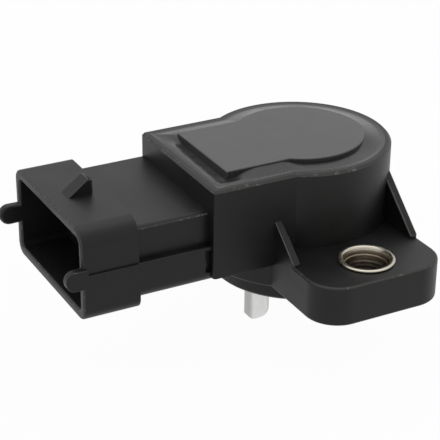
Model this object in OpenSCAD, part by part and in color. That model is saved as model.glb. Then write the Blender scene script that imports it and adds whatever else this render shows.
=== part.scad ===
// Throttle position sensor: a rotary potentiometer in a black moulded housing.
// Millimetres. Z is up. The shaft axis is the Z axis, and the flange stands on z = 0.
// The connector points along -X, and the two mounting ears along -Y and +Y.

/* [Body] */
// Radius of the round part of the body
pot_r = 15.4; // [14:0.1:18]
// Half the width of the square part of the body
body_half_w = 13.15; // [12:0.05:13.8]
// From the shaft axis to the flat face on the connector side
body_len = 22.6; // [21:0.1:26]
// Height of the rim above the flange face
body_top = 19.6; // [19:0.1:23]
// Height of the underside of the square part
body_under = 4.4; // [3.6:0.1:4.8]
// Radius of the square part's upright corners
corner_r = 0.6; // [0.3:0.1:1.2]
// Radius of the hollow where the square part meets the round part
waist_r = 1.2; // [0.6:0.1:2]
// Bevel along the rim's outer edge
rim_bevel = 0.4; // [0.2:0.05:0.6]

/* [Cover] */
// Thickness of the rim round the cover
rim_w = 1.5; // [1.2:0.1:2]
// Depth of the cover's seat below the rim
seat_depth = 2.8; // [2.4:0.1:3.4]
// Width of the shelf that carries the cover
shelf_w = 1.2; // [0.8:0.1:1.6]
// Thickness of the cover's flange
cover_flange_t = 1.2; // [0.8:0.1:1.6]
// Gap round the cover's flange
cover_gap = 0.15; // [0.05:0.05:0.3]
// Wall of the cover round the hollow under its raised plate
cover_wall = 1.4; // [1:0.1:1.8]
// From the body's outline to the edge of the cover's raised plate
plate_inset = 4.5; // [3.6:0.1:5.5]
// Height of the raised plate above the rim
plate_rise = 0.75; // [0.3:0.05:1.2]
// Depth of the sealing compound below the rim
bead_drop = 0.45; // [0.2:0.05:0.8]

/* [Flange] */
// Radius of the round foot under the body
base_r = 17; // [16.6:0.1:18]
// Thickness of the mounting ears
ear_h = 6.7; // [5.5:0.1:7.5]
// Half the width of the ears
ear_half_w = 11.7; // [10.5:0.1:12.4]
// From the shaft axis to the end of an ear
ear_reach = 28.6; // [27.5:0.1:32]
// Radius of the ears' corners
ear_corner_r = 5.4; // [3:0.1:6.4]
// From the end of an ear to its mounting hole
hole_setback = 6.6; // [6.2:0.1:7.4]
// Thickness of the gusset ribs
rib_t = 1.3; // [0.8:0.1:2]
// Height of the ribs on the flat side of the body, above the ear
rib_rise_flat = 5.4; // [3:0.1:7]
// Height of the ribs on the round side of the body, above the ear
rib_rise_round = 8.6; // [5:0.1:10]
// From the ribs' foot to the end of the ear
rib_setback = 9.5; // [7:0.1:11]
// Height of the ribs at their foot
rib_foot_h = 0.5; // [0.1:0.1:1]

/* [Pilot] */
// Radius of the pilot ring that centres the sensor
pilot_r = 14.8; // [14.2:0.1:15.6]
// Height of the pilot ring below the flange face
pilot_h = 3.4; // [2:0.1:4]
// Wall of the pilot ring
pilot_wall = 2; // [1.5:0.1:2.4]
// Bevel at the pilot ring's mouth
pilot_bevel = 0.4; // [0.2:0.1:0.6]

/* [Neck] */
// Near side of the neck's lower half, towards -Y
neck_near = 12.3; // [12:0.1:12.6]
// Step that sets the neck's upper half back from the lower half
neck_step = 1.3; // [0.6:0.1:1.6]
// Far side of the neck, towards +Y
neck_far = 13.1; // [12.6:0.05:13.4]
// Height of the neck's underside
neck_under = 3.5; // [3:0.1:4]
// Height of the ledge along the near side
ledge_z = 9.9; // [9:0.1:11]
// Height of the neck's top
neck_top = 15.5; // [15:0.1:16.4]
// Depth of the notch where the neck's lower half meets the body
notch_depth = 0.8; // [0.4:0.1:1.2]
// Radius along the neck's lower edges
neck_low_r = 1.9; // [1:0.1:2.4]
// Radius along the neck's upper edges
neck_top_r = 0.8; // [0.4:0.1:1.6]

/* [Connector] */
// From the shaft axis to the shroud's mouth
mouth_x = 44.4; // [43.5:0.1:48]
// Length of the wide part of the shroud
shroud_len = 9.5; // [8.5:0.1:10.5]
// Middle of the shroud across, towards +Y
shroud_mid = 1.25; // [0.9:0.05:1.4]
// Width of the shroud
shroud_w = 27.3; // [27:0.1:28]
// Height of the shroud's underside
shroud_under = 1.8; // [1.2:0.1:2]
// Height of the shroud's top
shroud_top = 17.1; // [16.8:0.1:17.8]
// Radius of the shroud's corners
shroud_r = 2; // [1.2:0.1:3]
// Radius along the shroud's upper near edge
shroud_near_r = 3; // [1.6:0.1:3.4]
// Wall of the shroud
shroud_wall = 1.5; // [1.2:0.1:1.6]
// Step that sets the shroud's upper near side back
shroud_step = 0.35; // [0.1:0.05:0.6]
// Radius of the socket's corners
socket_r = 1; // [0.6:0.1:1.4]
// Depth of the socket behind the wide part, measured from the mouth
socket_depth = 15; // [13:0.1:16]
// Wall of the neck round the socket
neck_wall = 1.4; // [1:0.1:1.5]
// Width of the latch ramp
latch_w = 2.85; // [2:0.05:5]
// Length of the latch ramp
latch_len = 4.2; // [3.8:0.1:5]
// From the foot of the latch ramp to its crest
latch_crest = 3.5; // [2.6:0.1:3.7]
// Height of the latch ramp
latch_h = 2.65; // [1.5:0.05:3.4]
// From the mouth to the foot of the latch ramp
latch_setback = 3; // [2:0.1:4]
// Length of the near guide tongue beyond the mouth, towards -Y
near_tongue_len = 2.7; // [2.2:0.1:5]
// Length of the far guide tongue beyond the mouth, towards +Y
far_tongue_len = 3.4; // [2.2:0.1:5]
// Width of the guide tongues
tongue_w = 3.3; // [2:0.1:5]
// Height of the guide tongues' middle
tongue_z = 9.25; // [8:0.05:10.5]

/* [Terminals] */
// Distance between terminals
terminal_pitch = 5.5; // [5:0.1:6]
// Width of a terminal blade
blade_w = 2.8; // [2:0.1:3]
// Thickness of a terminal
blade_t = 0.8; // [0.6:0.05:0.9]
// From the mouth to the blades' tips
blade_setback = 7.4; // [7:0.1:9]
// Length of a terminal on the board
foot_len = 5; // [4:0.1:5.4]
// Radius of a terminal's rivet
rivet_r = 0.6; // [0.4:0.05:0.8]
// Radius of a rivet's head
rivet_head_r = 1; // [0.9:0.05:1.2]
// Height of a rivet's head
rivet_head_h = 0.4; // [0.2:0.05:0.6]

/* [Sleeves] */
// Radius of the hole through a compression sleeve
sleeve_bore_r = 3.2; // [2.7:0.05:3.4]
// Outer radius of a sleeve in the ear
sleeve_r = 4.1; // [3.9:0.05:4.3]
// Radius of a sleeve's rolled lip
sleeve_lip_r = 4.6; // [4.5:0.05:5.2]
// Height of a sleeve's lip above the ear
sleeve_lip_h = 0.5; // [0.3:0.05:0.8]
// Widening of a sleeve's hole at the lip
sleeve_flare = 0.5; // [0.3:0.05:0.6]

/* [Bearing] */
// Radius of the shaft
shaft_r = 3; // [2.5:0.05:3.3]
// Running gap between the shaft and its bush
shaft_gap = 0.03; // [0.01:0.01:0.08]
// Height of the chamber's floor, which carries the bush and the board
floor_z = 8.1; // [7.8:0.1:9]
// Thickness of the floor
floor_t = 2.5; // [2:0.1:2.6]
// Wall of the bearing bush
bush_wall = 1.45; // [1:0.05:1.6]
// Width of the bush's flange past its body
bush_lip = 0.7; // [0.4:0.05:0.9]
// Wall of the boss round the bush
boss_wall = 2; // [1.5:0.1:2.2]
// Length of the boss below the floor
boss_drop = 3.6; // [3:0.1:3.8]
// Thickness of the shaft seal
seal_d = 1.5; // [1.2:0.1:1.6]
// Gap round the shaft seal
seal_gap = 0.03; // [0.02:0.01:0.08]

/* [Drive lever] */
// Thickness of the lever
lever_t = 2.6; // [2:0.1:3]
// Gap between the lever and the boss
lever_gap = 0.2; // [0.1:0.05:0.4]
// Radius of the lever's hub
lever_hub_r = 5.2; // [4.6:0.1:6]
// Half the width of the lever's arm
lever_half_w = 2.4; // [1.6:0.1:2.6]
// From the shaft axis to the tongue's outer edge
drive_out = 9.5; // [9:0.1:10]
// Width of the tongue that the throttle shaft turns
drive_w = 4.5; // [3.6:0.05:4.6]
// Thickness of the tongue
drive_t = 2.4; // [1.6:0.1:3]
// Reach of the tongue below the flange face
drive_drop = 12.6; // [9:0.1:16]
// Radius of the tongue's inner corner
drive_inner_r = 2.35; // [1:0.05:2.6]
// Radius of the tongue's outer corner
drive_outer_r = 1.3; // [0.6:0.05:1.5]
// Travel of the rotor, in degrees
travel = 95; // [70:1:110]
// Half the width of the stop nose, in degrees
nose_half = 8; // [5:1:10]
// Width of a stop lug, in degrees
lug_w = 10; // [6:1:14]
// Reach of the stop nose past the tongue
nose_reach = 1.9; // [1.4:0.1:2.2]
// Gap between the stop nose and the pilot ring
nose_gap = 1.4; // [0.6:0.1:1.8]

/* [Return spring] */
// Radius of the spring's wire
wire_r = 0.5; // [0.3:0.05:0.55]
// Mean radius of the spring's coil
coil_r = 7.9; // [7.7:0.1:8.6]
// Reach of the fixed leg past the coil
leg_reach = 2.6; // [2:0.1:3]
// Full turns of the coil
coil_turns = 2; // [1:1:2]

/* [Wiper] */
// Radius of the wiper carrier
carrier_r = 11.2; // [10.8:0.1:11.8]
// Thickness of the wiper carrier
carrier_t = 1.8; // [1.2:0.1:2.4]
// Height of the carrier above the board
carrier_lift = 2.6; // [2.2:0.1:3]
// Length of the carrier's hub
hub_len = 5.7; // [5.2:0.1:6]
// Thickness of the thrust washer
washer_t = 0.5; // [0.3:0.05:0.8]
// Depth of the flat on the shaft's upper end
flat_depth = 0.5; // [0.3:0.05:0.8]
// Thickness of the wiper plate
wiper_t = 0.3; // [0.2:0.05:0.4]
// Width of the outer brush
outer_brush_w = 1.6; // [1:0.1:1.8]
// Width of the inner brush
inner_brush_w = 0.9; // [0.6:0.1:1]
// Thickness of the retaining ring
ring_t = 0.5; // [0.3:0.05:0.7]
// Width of the retaining ring outside the shaft
ring_w = 1.6; // [1:0.1:2]

/* [Resistor board] */
// Thickness of the board
board_t = 0.9; // [0.6:0.1:1.2]
// Gap round the board
board_gap = 0.2; // [0.1:0.05:0.4]
// Gap between the board and the bush's flange
board_hole_gap = 0.4; // [0.2:0.05:0.5]
// Thickness of the printed tracks
track_t = 0.08; // [0.05:0.01:0.12]
// Mean radius of the resistor track
resistor_r = 9.3; // [9.1:0.05:9.6]
// Width of the resistor track
resistor_w = 2; // [1.6:0.1:2.2]
// Mean radius of the collector track
collector_r = 6.75; // [6.6:0.05:6.9]
// Width of the collector track
collector_w = 1.2; // [1:0.1:1.4]
// Extra track past the wiper's travel at each end, in degrees
track_spare = 18; // [12:1:22]
// Width of the printed leads
lead_w = 0.9; // [0.6:0.1:1.2]

/* [Hidden] */
$fn = 96;

// A cut runs this far past the faces that it opens.
cut = 1;
// Stacked solids share this much, so that they join into one.
weld = 0.1;
// A fillet's circle crosses the lines that it meets by this much.
bite = 0.02;

hole_offset = ear_reach - hole_setback;
terminal_count = 3;

// Heights of the cover and its seat.
seat_z = body_top - seat_depth;
flange_top = seat_z + cover_flange_t;
plate_top = body_top + plate_rise;
bead_top = body_top - bead_drop;
chamber_inset = rim_w + shelf_w;
chamber_end = body_len - chamber_inset;

// The recess under the floor, which holds the lever and the spring.
recess_r = pilot_r - pilot_wall;
recess_top = floor_z - floor_t;
boss_bottom = recess_top - boss_drop;
bush_r = shaft_r + shaft_gap + bush_wall;
boss_r = bush_r + boss_wall;
seal_pocket_h = seal_d + 2 * seal_gap;
seal_pocket_r = shaft_r + seal_pocket_h;
bush_bottom = boss_bottom + seal_pocket_h;

// The board, its tracks and the terminals on it.
board_top = floor_z + board_t;
track_top = board_top + track_t;
board_hole_r = bush_r + bush_lip + board_hole_gap;
blade_z = track_top;
shroud_near = shroud_w / 2 - shroud_mid;
shroud_far = shroud_w / 2 + shroud_mid;
blade_tip_x = mouth_x - blade_setback;
socket_floor_x = mouth_x - socket_depth;
foot_end_x = chamber_end - foot_len;
rivet_x = foot_end_x + blade_w / 2;

// The rotor's stack, from the lever up to the retaining ring.
lever_top = boss_bottom - lever_gap;
lever_bottom = lever_top - lever_t;
washer_bottom = board_top + shaft_gap;
hub_bottom = washer_bottom + washer_t;
hub_top = hub_bottom + hub_len;
carrier_bottom = board_top + carrier_lift;
ring_groove = 0.5;
shaft_end_h = 0.6;
shaft_top = hub_top + ring_t + shaft_end_h;
wiper_z = carrier_bottom - wiper_t;
flat_x = shaft_r - flat_depth;
wiper_angle = -travel / 2;
track_half = travel / 2 + track_spare;
hub_r = bush_r + bush_lip;
brush_gap = 0.04;
brush_root = 0.6;
spread = 14;
carrier_spread = 40;
carrier_collar_r = hub_r + 1.5;
wiper_setback = 0.6;

// The stops: the lever's nose turns between two lugs on the recess wall.
rest_angle = 180;
nose_r = drive_out + nose_reach;
lug_r = nose_r - nose_reach / 2;
stop_gap_deg = 0.6;
first_lug = rest_angle - nose_half - stop_gap_deg - lug_w;
second_lug = rest_angle + travel + nose_half + stop_gap_deg;

// The spring hangs between the floor and the lever.
spring_gap = 0.15;
leg_gap = 0.05;
spring_top = recess_top - wire_r - spring_gap;
spring_bottom = lever_top + wire_r + spring_gap;
leg_y = lever_half_w + wire_r + leg_gap;
moving_leg = rest_angle + asin(leg_y / coil_r);
fixed_leg = first_lug - asin((wire_r + leg_gap) / (coil_r + leg_reach));
spring_sweep = 360 * coil_turns + moving_leg - fixed_leg;

function polar(r, a) = [r * cos(a), r * sin(a)];

// The keyhole outline of the body, drawn in by a distance all round.
module keyhole(inset, corner = 0) {
    r = pot_r - inset;
    w = body_half_w - inset;
    len = body_len - inset;
    circle(r);
    translate([-len, corner - w])
        square([len, 2 * (w - corner)]);
    translate([corner - len, -w])
        square([len - corner, 2 * w]);
    if (corner > 0)
        for (s = [-1, 1])
            translate([corner - len, s * (w - corner)])
                circle(corner);
}

// The small fillets in the two hollows between the square and the round part, from low_r to high_r upwards.
// Each circle bites a little into both, so that no edge ends in a point.
module waist_fillets(from, low_r, high_r, height) {
    reach = pot_r + waist_r;
    rise = body_half_w + waist_r;
    middle = [-sqrt(reach * reach - rise * rise), rise];
    inside_body = middle * 0.7;
    for (s = [0, 1])
        mirror([0, s, 0])
            translate([0, 0, from])
                difference() {
                    linear_extrude(height)
                        polygon([[middle.x, body_half_w - waist_r], middle, inside_body]);
                    translate([middle.x, middle.y, 0])
                        cylinder(r1 = low_r, r2 = high_r, h = height);
                }
}

// A rectangle with four round corners, given by its middle and its size.
module round_rect(middle, size, r) {
    translate(middle) {
        square([size.x - 2 * r, size.y], center = true);
        square([size.x, size.y - 2 * r], center = true);
        for (x = [-1, 1], y = [-1, 1])
            translate([x * (size.x / 2 - r), y * (size.y / 2 - r)])
                circle(r);
    }
}

// A piece of a ring between two angles.
module ring_sector(inner, outer, from, to) {
    difference() {
        circle(outer);
        circle(inner);
        rotate(to)
            translate([-2 * outer, 0])
                square([4 * outer, 2 * outer]);
        rotate(from)
            translate([-2 * outer, -2 * outer])
                square([4 * outer, 2 * outer]);
    }
}

// Sets a drawing in the YZ plane and pulls it along +X from a start, for the connector end.
module along_x(from, length) {
    translate([from, 0, 0])
        rotate([90, 0, 90])
            linear_extrude(length)
                children();
}

// The body's walls, and its top layer with the bevel along the rim, which starts with a piece of upright wall.
module body_shell() {
    wall_h = body_top - rim_bevel - weld / 2 - body_under;
    fillet_r = waist_r + bite;
    translate([0, 0, body_under]) {
        linear_extrude(wall_h)
            keyhole(0, corner_r);
        waist_fillets(0, fillet_r, fillet_r, wall_h);
    }
    translate([0, 0, body_top - rim_bevel]) {
        translate([0, 0, -weld])
            linear_extrude(weld)
                keyhole(0, corner_r);
        waist_fillets(-weld, fillet_r, fillet_r, weld);
        bevelled_layer(rim_bevel);
        waist_fillets(0, fillet_r, fillet_r + rim_bevel, rim_bevel);
    }
}

// The keyhole as a layer that grows narrower towards its top: cones on the round corners, slopes between.
module bevelled_layer(height) {
    cylinder(r1 = pot_r, r2 = pot_r - height, h = height);
    along_x(corner_r - body_len, body_len - corner_r)
        polygon([
            [-body_half_w, 0], [body_half_w, 0], [body_half_w - height, height], [height - body_half_w, height]
        ]);
    translate([0, body_half_w - corner_r, 0])
        rotate([90, 0, 0])
            linear_extrude(2 * (body_half_w - corner_r))
                polygon([[-body_len, 0], [0, 0], [0, height], [height - body_len, height]]);
    for (y = [-1, 1])
        translate([corner_r - body_len, y * (body_half_w - corner_r), 0])
            cylinder(r1 = corner_r, r2 = corner_r - height, h = height);
}

module ear_outline() {
    translate([-ear_half_w, ear_corner_r - ear_reach])
        square([2 * ear_half_w, 2 * (ear_reach - ear_corner_r)]);
    translate([ear_corner_r - ear_half_w, -ear_reach])
        square([2 * (ear_half_w - ear_corner_r), 2 * ear_reach]);
    for (x = [-1, 1], y = [-1, 1])
        translate([x * (ear_half_w - ear_corner_r), y * (ear_reach - ear_corner_r)])
            circle(ear_corner_r);
}

// A gusset from the body's side down to an ear, as a triangle standing on the ear.
// Its slope carries on into the wall behind it.
module rib(x, wall_y, rise) {
    foot_y = ear_reach - rib_setback;
    root_y = wall_y - shelf_w;
    root_z = rise + (rise - rib_foot_h) * shelf_w / (foot_y - wall_y);
    translate([x, 0, ear_h])
        rotate([90, 0, 90])
            linear_extrude(rib_t)
                polygon([[root_y, -weld], [foot_y, -weld], [foot_y, rib_foot_h], [root_y, root_z]]);
}

module ribs() {
    round_y = sqrt(pot_r * pot_r - ear_half_w * ear_half_w);
    for (s = [0, 1])
        mirror([0, s, 0]) {
            rib(-ear_half_w, body_half_w, rib_rise_flat);
            rib(ear_half_w - rib_t, round_y, rib_rise_round);
        }
}

module flange() {
    linear_extrude(body_under + weld)
        circle(base_r);
    linear_extrude(ear_h)
        ear_outline();
    translate([0, 0, -pilot_h])
        rotate_extrude()
            polygon([
                [0, 0], [pilot_r - pilot_bevel, 0], [pilot_r, pilot_bevel],
                [pilot_r, pilot_h + weld], [0, pilot_h + weld]
            ]);
}

// A rectangle whose two upper corners have their own radii.
module arched(low, high, near_r, far_r) {
    middle = (low.x + high.x) / 2;
    translate(low)
        square([middle - low.x, high.y - near_r - low.y]);
    translate([middle, low.y])
        square([high.x - middle, high.y - far_r - low.y]);
    translate([low.x + near_r, low.y])
        square([high.x - far_r - low.x - near_r, high.y - low.y]);
    translate([low.x + near_r, high.y - near_r])
        circle(near_r);
    translate([high.x - far_r, high.y - far_r])
        circle(far_r);
}

// The part of a section below a height, with two round corners.
module rounded_below(near, far, low, high, r) {
    height = high - low + r;
    intersection() {
        round_rect([(far - near) / 2, low + height / 2], [far + near, height], r);
        translate([-2 * near, low - cut])
            square([4 * near, high - low + cut]);
    }
}

// A section with Y across and Z up. Above the ledge, its near side is set back by a step.
module stepped_section(near, far, low, high, step, low_r, near_r, far_r) {
    rounded_below(near, far, low, ledge_z, low_r);
    arched([step - near, ledge_z - weld], [far, high], near_r, far_r);
}

module neck() {
    start = mouth_x - shroud_len + shroud_wall;
    along_x(-start, start - chamber_end)
        stepped_section(
            neck_near, neck_far, neck_under, neck_top, neck_step, neck_low_r, neck_top_r, neck_top_r
        );
}

module shroud() {
    along_x(-mouth_x, shroud_len)
        stepped_section(
            shroud_near, shroud_far, shroud_under, shroud_top, shroud_step, shroud_r, shroud_near_r, shroud_r
        );
}

// A small notch in the neck's near side, just before the body.
module neck_notch() {
    low = neck_under + neck_low_r;
    translate([-body_len - notch_depth, -neck_near - cut, low])
        cube([notch_depth, cut + notch_depth, ledge_z - notch_depth - low]);
}

// A tongue that carries on from the shroud's side wall, with a round end.
module guide_tongue(outer_y, length) {
    r = tongue_w / 2;
    translate([0, outer_y, tongue_z])
        rotate([90, 0, 0])
            linear_extrude(shroud_wall) {
                translate([r - mouth_x - length, 0])
                    circle(r);
                translate([r - mouth_x - length, -r])
                    square([length - r + cut, tongue_w]);
            }
}

module guide_tongues() {
    guide_tongue(shroud_wall - shroud_near, near_tongue_len);
    guide_tongue(shroud_far, far_tongue_len);
}

module latch_ramp() {
    foot_x = latch_setback - mouth_x;
    crest_fall = 0.3;
    translate([0, shroud_mid + latch_w / 2, shroud_top])
        rotate([90, 0, 0])
            linear_extrude(latch_w)
                polygon([
                    [foot_x, -weld], [foot_x, 0], [foot_x + latch_crest, latch_h],
                    [foot_x + latch_len, latch_h - crest_fall], [foot_x + latch_len, -weld]
                ]);
}

// The socket: as wide as the shroud allows in front, and narrower inside the neck.
module socket() {
    wide_low = shroud_under + shroud_wall;
    wide_high = shroud_top - shroud_wall;
    wide_size = [shroud_w - 2 * shroud_wall, wide_high - wide_low];
    along_x(-mouth_x - cut, shroud_len - shroud_wall + cut)
        round_rect([shroud_mid, (wide_low + wide_high) / 2], wide_size, socket_r);
    near = neck_near - neck_step - neck_wall;
    far = neck_far - neck_wall;
    low = neck_under + neck_wall;
    high = neck_top - neck_wall;
    along_x(-mouth_x, socket_depth)
        round_rect([(far - near) / 2, (low + high) / 2], [far + near, high - low], socket_r);
}

// The outline of a terminal, seen from above, from its tip to its end on the board.
module terminal_outline() {
    tip = blade_w / 3;
    polygon([
        [-blade_tip_x, -tip], [-blade_tip_x, tip], [tip - blade_tip_x, blade_w / 2],
        [-foot_end_x, blade_w / 2], [-foot_end_x, -blade_w / 2], [tip - blade_tip_x, -blade_w / 2]
    ]);
}

function terminal_y(i) = shroud_mid + (i - (terminal_count + 1) / 2) * terminal_pitch;

module terminal_solid(i) {
    translate([0, terminal_y(i), blade_z])
        linear_extrude(blade_t)
            terminal_outline();
}

module stop_lugs() {
    translate([0, 0, lever_bottom])
        linear_extrude(recess_top - lever_bottom + weld)
            for (a = [first_lug, second_lug])
                ring_sector(lug_r, recess_r + weld, a, a + lug_w);
}

// The moulded housing, in one piece.
module housing() {
    color("#26262a")
        difference() {
            union() {
                difference() {
                    union() {
                        body_shell();
                        flange();
                        ribs();
                        neck();
                        shroud();
                    }
                    neck_notch();
                    socket();
                    translate([0, 0, -pilot_h - cut])
                        cylinder(r = recess_r, h = recess_top + pilot_h + cut);
                }
                guide_tongues();
                latch_ramp();
                stop_lugs();
                translate([0, 0, boss_bottom])
                    cylinder(r = boss_r, h = boss_drop + weld);
            }
            translate([0, 0, seat_z])
                linear_extrude(seat_depth + cut)
                    keyhole(rim_w);
            translate([0, 0, floor_z])
                linear_extrude(seat_z - floor_z + cut)
                    keyhole(chamber_inset);
            translate([0, 0, boss_bottom - cut])
                cylinder(r = seal_pocket_r, h = seal_pocket_h + cut);
            translate([0, 0, boss_bottom])
                cylinder(r = bush_r, h = floor_z - boss_bottom + cut);
            for (y = [-hole_offset, hole_offset])
                translate([0, y, -cut])
                    cylinder(r = sleeve_r, h = ear_h + 2 * cut);
            for (i = [1:terminal_count])
                terminal_solid(i);
        }
}

// The lid: a flange on the shelf and a raised plate that shows above the compound.
module cover() {
    color("#3a3a3e")
        difference() {
            union() {
                translate([0, 0, seat_z])
                    linear_extrude(cover_flange_t)
                        keyhole(rim_w + cover_gap);
                translate([0, 0, flange_top - weld])
                    linear_extrude(plate_top - flange_top + weld)
                        keyhole(plate_inset);
            }
            translate([0, 0, seat_z - cut])
                linear_extrude(plate_top - cover_wall - seat_z + cut)
                    keyhole(plate_inset + cover_wall);
        }
}

// The compound that fills the trough between the rim and the raised plate.
module sealing_compound() {
    color("#1c1c1f")
        translate([0, 0, flange_top])
            linear_extrude(bead_top - flange_top)
                difference() {
                    keyhole(rim_w);
                    keyhole(plate_inset);
                }
}

// A compression sleeve with a rolled lip and a widened mouth.
module sleeve() {
    lip_z = ear_h + sleeve_lip_h;
    roll = sleeve_lip_h / 2;
    rotate_extrude() {
        polygon([
            [sleeve_bore_r, 0], [sleeve_r, 0], [sleeve_r, ear_h], [sleeve_lip_r - roll, ear_h],
            [sleeve_lip_r - roll, lip_z], [sleeve_bore_r + sleeve_flare, lip_z],
            [sleeve_bore_r, lip_z - 2 * sleeve_flare]
        ]);
        translate([sleeve_lip_r - roll, ear_h + roll])
            circle(roll);
    }
}

module front_sleeve() {
    color("#c9c2b4")
        translate([0, -hole_offset, 0])
            sleeve();
}

module rear_sleeve() {
    color("#c9c2b4")
        translate([0, hole_offset, 0])
            sleeve();
}

module terminal(i) {
    color("#b9a37a")
        difference() {
            terminal_solid(i);
            translate([-rivet_x, terminal_y(i), blade_z - cut])
                cylinder(r = rivet_r, h = blade_t + 2 * cut);
        }
}

module rivet(i) {
    color("#c8b98c")
        translate([-rivet_x, terminal_y(i), 0]) {
            translate([0, 0, floor_z])
                cylinder(r = rivet_r, h = blade_z + blade_t - floor_z + weld);
            translate([0, 0, blade_z + blade_t])
                cylinder(r = rivet_head_r, h = rivet_head_h);
        }
}

module rivet_holes() {
    for (i = [1:terminal_count])
        translate([-rivet_x, terminal_y(i)])
            circle(rivet_r);
}

module resistor_board() {
    color("#3f5a46")
        translate([0, 0, floor_z])
            linear_extrude(board_t)
                difference() {
                    keyhole(chamber_inset + board_gap);
                    circle(board_hole_r);
                    rivet_holes();
                }
}

// A printed lead from the ring at radius r to a terminal's rivet.
module lead_strip(r, i) {
    y = terminal_y(i);
    start = sqrt(r * r - y * y);
    translate([-rivet_x, y - lead_w / 2])
        square([rivet_x - start, lead_w]);
}

module resistor_track() {
    lead_r = resistor_r - lead_w / 2;
    first = atan2(terminal_y(1), -sqrt(resistor_r * resistor_r - pow(terminal_y(1), 2)));
    last = atan2(terminal_y(3), -sqrt(resistor_r * resistor_r - pow(terminal_y(3), 2)));
    color("#1b1b1b")
        translate([0, 0, board_top])
            linear_extrude(track_t)
                difference() {
                    union() {
                        ring_sector(resistor_r - resistor_w / 2, resistor_r + resistor_w / 2, -track_half, track_half);
                        ring_sector(lead_r, lead_r + lead_w, track_half - 1, last);
                        ring_sector(lead_r, lead_r + lead_w, first, 1 - track_half);
                        lead_strip(resistor_r, 1);
                        lead_strip(resistor_r, 3);
                    }
                    rivet_holes();
                }
}

module collector_track() {
    color("#5f564a")
        translate([0, 0, board_top])
            linear_extrude(track_t)
                difference() {
                    union() {
                        circle(collector_r + collector_w / 2);
                        lead_strip(collector_r, 2);
                    }
                    circle(collector_r - collector_w / 2);
                    rivet_holes();
                }
}

module bearing_bush() {
    color("#a98a55")
        rotate_extrude()
            polygon([
                [shaft_r + shaft_gap, bush_bottom], [bush_r, bush_bottom], [bush_r, floor_z],
                [bush_r + bush_lip, floor_z], [bush_r + bush_lip, board_top], [shaft_r + shaft_gap, board_top]
            ]);
}

module shaft_seal() {
    color("#2b2b2b")
        translate([0, 0, boss_bottom + seal_pocket_h / 2])
            rotate_extrude()
                translate([shaft_r + seal_gap + seal_d / 2, 0])
                    circle(seal_d / 2);
}

// The shaft's section above the bush has a flat that drives the wiper carrier.
module flatted_section() {
    difference() {
        circle(shaft_r);
        translate([flat_x, -2 * shaft_r])
            square([2 * shaft_r, 4 * shaft_r]);
    }
}

module shaft() {
    color("#b4b6b8")
        difference() {
            union() {
                translate([0, 0, lever_bottom])
                    cylinder(r = shaft_r, h = hub_bottom - lever_bottom);
                translate([0, 0, hub_bottom - weld])
                    linear_extrude(shaft_top - hub_bottom + weld)
                        flatted_section();
            }
            translate([0, 0, hub_top])
                difference() {
                    cylinder(r = 2 * shaft_r, h = ring_t);
                    translate([0, 0, -cut])
                        cylinder(r = shaft_r - ring_groove, h = ring_t + 2 * cut);
                }
        }
}

// The lever: hub, arm and stop nose in one plane, with the drive tongue hanging from the arm.
module drive_lever() {
    inner_x = drive_w - drive_out;
    foot_z = -drive_drop;
    color("#cfd0d0") {
        difference() {
            translate([0, 0, lever_bottom])
                linear_extrude(lever_t) {
                    circle(lever_hub_r);
                    translate([-drive_out, -lever_half_w])
                        square([drive_out, 2 * lever_half_w]);
                    ring_sector(drive_out - cut, nose_r, rest_angle - nose_half, rest_angle + nose_half);
                }
            translate([0, 0, lever_bottom - cut])
                cylinder(r = shaft_r, h = lever_t + 2 * cut);
        }
        intersection() {
            translate([0, 0, foot_z - cut])
                linear_extrude(lever_bottom + weld - foot_z + cut)
                    tongue_plan();
            translate([0, drive_t, 0])
                rotate([90, 0, 0])
                    linear_extrude(2 * drive_t)
                        tongue_side(inner_x, foot_z);
        }
    }
}

// The tongue from below: a strip with full-round edges.
module tongue_plan() {
    r = drive_t / 2;
    for (x = [r - drive_out, drive_w - drive_out - r])
        translate([x, 0])
            circle(r);
    translate([r - drive_out, -r])
        square([drive_w - 2 * r, drive_t]);
}

// The tongue from the side, with a small outer corner and a large inner one.
module tongue_side(inner_x, foot_z) {
    turn_z = foot_z + drive_inner_r;
    translate([drive_outer_r - drive_out, foot_z + drive_outer_r])
        circle(drive_outer_r);
    translate([inner_x - drive_inner_r, turn_z])
        circle(drive_inner_r);
    translate([drive_outer_r - drive_out, foot_z])
        square([inner_x - drive_inner_r + drive_out - drive_outer_r, 2 * drive_inner_r]);
    translate([-drive_out, foot_z + drive_outer_r])
        square([drive_w - drive_inner_r, lever_top - foot_z]);
    translate([-drive_out, turn_z])
        square([drive_w, lever_top - foot_z]);
}

module thrust_washer() {
    color("#d8d4c4")
        translate([0, 0, washer_bottom])
            difference() {
                cylinder(r = hub_r, h = washer_t);
                translate([0, 0, -cut])
                    cylinder(r = shaft_r + shaft_gap, h = washer_t + 2 * cut);
            }
}

module wiper_carrier() {
    color("#e4e0d2")
        difference() {
            union() {
                translate([0, 0, hub_bottom])
                    cylinder(r = hub_r, h = hub_len);
                translate([0, 0, carrier_bottom])
                    linear_extrude(carrier_t) {
                        circle(carrier_collar_r);
                        ring_sector(hub_r, carrier_r, wiper_angle - carrier_spread, wiper_angle + carrier_spread);
                    }
            }
            translate([0, 0, hub_bottom - cut])
                linear_extrude(hub_len + 2 * cut)
                    flatted_section();
        }
}

module wiper_plate() {
    color("#c2a569")
        translate([0, 0, wiper_z])
            linear_extrude(wiper_t)
                ring_sector(hub_r, carrier_r - wiper_setback, wiper_angle - 2 * spread, wiper_angle - spread);
}

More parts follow.
